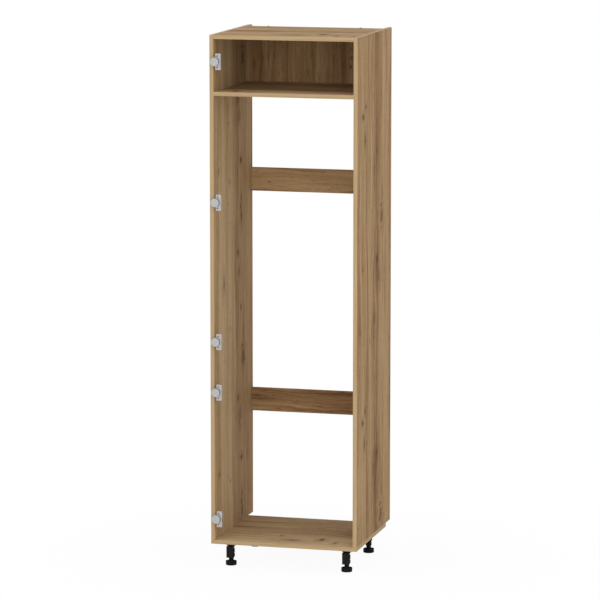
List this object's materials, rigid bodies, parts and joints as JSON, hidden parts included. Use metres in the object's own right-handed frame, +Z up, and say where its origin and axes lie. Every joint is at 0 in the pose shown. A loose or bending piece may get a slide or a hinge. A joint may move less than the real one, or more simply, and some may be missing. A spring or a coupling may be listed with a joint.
{
  "type": "fridge housing cabinet",
  "caption": "Tall open kitchen housing for a built-in fridge, with an upper compartment, rear rails, concealed door hinges and levelling legs.",
  "frame": {"origin": "on the floor, under the middle of the cabinet's bounding box", "axes": "+Z up, -Y out of the open front, +X to the right as seen from the front"},
  "size_m": [0.6, 0.5796, 2.142],
  "materials": {
    "oak_board": "oak-grained melamine on chipboard",
    "oak_edge": "satin edge banding",
    "nickel_steel": "nickel-plated",
    "zinc": "zinc-plated",
    "black_plastic": "moulded",
    "beech": "fluted dowel",
    "brown_cap": "moulded"
  },
  "bodies": {
    "carcass": {"side_panel_left": "oak_board", "side_panel_right": "oak_board", "bottom_panel": "oak_board", "top_panel": "oak_board", "fixed_shelf": "oak_board", "back_panel": "oak_board", "lower_rear_rail": "oak_board", "upper_rear_rail": "oak_board", "edge_bands": "oak_edge", "dowels": "beech", "cam_housings": "zinc", "cam_bolts": "zinc", "bottom_screws": "zinc", "back_panel_screws": "zinc", "screw_caps": "brown_cap", "hinge_mounting_plates": "nickel_steel", "hinge_arm_pins": "nickel_steel", "hinge_plate_screws": "nickel_steel", "hinge_arm_screws": "nickel_steel", "leg_screws": "zinc", "plinth_clip_left": "black_plastic", "plinth_clip_right": "black_plastic", "hinge_1_arm": "nickel_steel", "hinge_2_arm": "nickel_steel", "hinge_3_arm": "nickel_steel", "hinge_4_arm": "nickel_steel", "hinge_5_arm": "nickel_steel", "leg_front_left_socket": "black_plastic", "leg_front_left_column": "black_plastic", "leg_front_right_socket": "black_plastic", "leg_front_right_column": "black_plastic", "leg_rear_left_socket": "black_plastic", "leg_rear_left_column": "black_plastic", "leg_rear_right_socket": "black_plastic", "leg_rear_right_column": "black_plastic"},
    "hinge_1_outer_link": {"hinge_1_outer_link": "nickel_steel"},
    "hinge_1_inner_link": {"hinge_1_inner_link": "nickel_steel"},
    "hinge_1_cup": {"hinge_1_cup": "nickel_steel", "hinge_1_cup_pins": "nickel_steel"},
    "hinge_2_outer_link": {"hinge_2_outer_link": "nickel_steel"},
    "hinge_2_inner_link": {"hinge_2_inner_link": "nickel_steel"},
    "hinge_2_cup": {"hinge_2_cup": "nickel_steel", "hinge_2_cup_pins": "nickel_steel"},
    "hinge_3_outer_link": {"hinge_3_outer_link": "nickel_steel"},
    "hinge_3_inner_link": {"hinge_3_inner_link": "nickel_steel"},
    "hinge_3_cup": {"hinge_3_cup": "nickel_steel", "hinge_3_cup_pins": "nickel_steel"},
    "hinge_4_outer_link": {"hinge_4_outer_link": "nickel_steel"},
    "hinge_4_inner_link": {"hinge_4_inner_link": "nickel_steel"},
    "hinge_4_cup": {"hinge_4_cup": "nickel_steel", "hinge_4_cup_pins": "nickel_steel"},
    "hinge_5_outer_link": {"hinge_5_outer_link": "nickel_steel"},
    "hinge_5_inner_link": {"hinge_5_inner_link": "nickel_steel"},
    "hinge_5_cup": {"hinge_5_cup": "nickel_steel", "hinge_5_cup_pins": "nickel_steel"},
    "leg_front_left_foot": {"leg_front_left_foot": "black_plastic"},
    "leg_front_right_foot": {"leg_front_right_foot": "black_plastic"},
    "leg_rear_left_foot": {"leg_rear_left_foot": "black_plastic"},
    "leg_rear_right_foot": {"leg_rear_right_foot": "black_plastic"}
  },
  "joints": [
    {"name": "hinge_1_outer_link_turn", "type": "hinge", "parent": "carcass", "child": "hinge_1_outer_link", "pos_m": [-0.2698, -0.2803, 0.202], "axis": [0, 0, 1], "range_deg": [0, 16]},
    {"name": "hinge_1_swing", "type": "hinge", "parent": "hinge_1_outer_link", "child": "hinge_1_cup", "pos_m": [-0.2884, -0.28525, 0.202], "axis": [0, 0, -1], "range_deg": [0, 120.75]},
    {"name": "hinge_1_inner_link_turn", "type": "hinge", "parent": "carcass", "child": "hinge_1_inner_link", "pos_m": [-0.2636, -0.27255, 0.202], "axis": [0, 0, 1], "range_deg": [0, 28.5]},
    {"name": "hinge_2_outer_link_turn", "type": "hinge", "parent": "carcass", "child": "hinge_2_outer_link", "pos_m": [-0.2698, -0.2803, 0.716], "axis": [0, 0, 1], "range_deg": [0, 16]},
    {"name": "hinge_2_swing", "type": "hinge", "parent": "hinge_2_outer_link", "child": "hinge_2_cup", "pos_m": [-0.2884, -0.28525, 0.716], "axis": [0, 0, -1], "range_deg": [0, 120.75]},
    {"name": "hinge_2_inner_link_turn", "type": "hinge", "parent": "carcass", "child": "hinge_2_inner_link", "pos_m": [-0.2636, -0.27255, 0.716], "axis": [0, 0, 1], "range_deg": [0, 28.5]},
    {"name": "hinge_3_outer_link_turn", "type": "hinge", "parent": "carcass", "child": "hinge_3_outer_link", "pos_m": [-0.2698, -0.2803, 0.92], "axis": [0, 0, 1], "range_deg": [0, 16]},
    {"name": "hinge_3_swing", "type": "hinge", "parent": "hinge_3_outer_link", "child": "hinge_3_cup", "pos_m": [-0.2884, -0.28525, 0.92], "axis": [0, 0, -1], "range_deg": [0, 120.75]},
    {"name": "hinge_3_inner_link_turn", "type": "hinge", "parent": "carcass", "child": "hinge_3_inner_link", "pos_m": [-0.2636, -0.27255, 0.92], "axis": [0, 0, 1], "range_deg": [0, 28.5]},
    {"name": "hinge_4_outer_link_turn", "type": "hinge", "parent": "carcass", "child": "hinge_4_outer_link", "pos_m": [-0.2698, -0.2803, 1.4775], "axis": [0, 0, 1], "range_deg": [0, 16]},
    {"name": "hinge_4_swing", "type": "hinge", "parent": "hinge_4_outer_link", "child": "hinge_4_cup", "pos_m": [-0.2884, -0.28525, 1.4775], "axis": [0, 0, -1], "range_deg": [0, 120.75]},
    {"name": "hinge_4_inner_link_turn", "type": "hinge", "parent": "carcass", "child": "hinge_4_inner_link", "pos_m": [-0.2636, -0.27255, 1.4775], "axis": [0, 0, 1], "range_deg": [0, 28.5]},
    {"name": "hinge_5_outer_link_turn", "type": "hinge", "parent": "carcass", "child": "hinge_5_outer_link", "pos_m": [-0.2698, -0.2803, 2.035], "axis": [0, 0, 1], "range_deg": [0, 16]},
    {"name": "hinge_5_swing", "type": "hinge", "parent": "hinge_5_outer_link", "child": "hinge_5_cup", "pos_m": [-0.2884, -0.28525, 2.035], "axis": [0, 0, -1], "range_deg": [0, 120.75]},
    {"name": "hinge_5_inner_link_turn", "type": "hinge", "parent": "carcass", "child": "hinge_5_inner_link", "pos_m": [-0.2636, -0.27255, 2.035], "axis": [0, 0, 1], "range_deg": [0, 28.5]},
    {"name": "leg_front_left_level", "type": "slide", "parent": "carcass", "child": "leg_front_left_foot", "axis": [0, 0, -1], "range_m": [-0.008, 0.02]},
    {"name": "leg_front_right_level", "type": "slide", "parent": "carcass", "child": "leg_front_right_foot", "axis": [0, 0, -1], "range_m": [-0.008, 0.02]},
    {"name": "leg_rear_left_level", "type": "slide", "parent": "carcass", "child": "leg_rear_left_foot", "axis": [0, 0, -1], "range_m": [-0.008, 0.02]},
    {"name": "leg_rear_right_level", "type": "slide", "parent": "carcass", "child": "leg_rear_right_foot", "axis": [0, 0, -1], "range_m": [-0.008, 0.02]}
  ],
  "couplings": [
    {"joint": "hinge_1_outer_link_turn", "follows": "hinge_1_swing", "ratio": 0.13043},
    {"joint": "hinge_1_inner_link_turn", "follows": "hinge_1_swing", "ratio": 0.23261},
    {"joint": "hinge_2_outer_link_turn", "follows": "hinge_2_swing", "ratio": 0.13043},
    {"joint": "hinge_2_inner_link_turn", "follows": "hinge_2_swing", "ratio": 0.23261},
    {"joint": "hinge_3_outer_link_turn", "follows": "hinge_3_swing", "ratio": 0.13043},
    {"joint": "hinge_3_inner_link_turn", "follows": "hinge_3_swing", "ratio": 0.23261},
    {"joint": "hinge_4_outer_link_turn", "follows": "hinge_4_swing", "ratio": 0.13043},
    {"joint": "hinge_4_inner_link_turn", "follows": "hinge_4_swing", "ratio": 0.23261},
    {"joint": "hinge_5_outer_link_turn", "follows": "hinge_5_swing", "ratio": 0.13043},
    {"joint": "hinge_5_inner_link_turn", "follows": "hinge_5_swing", "ratio": 0.23261}
  ]
}
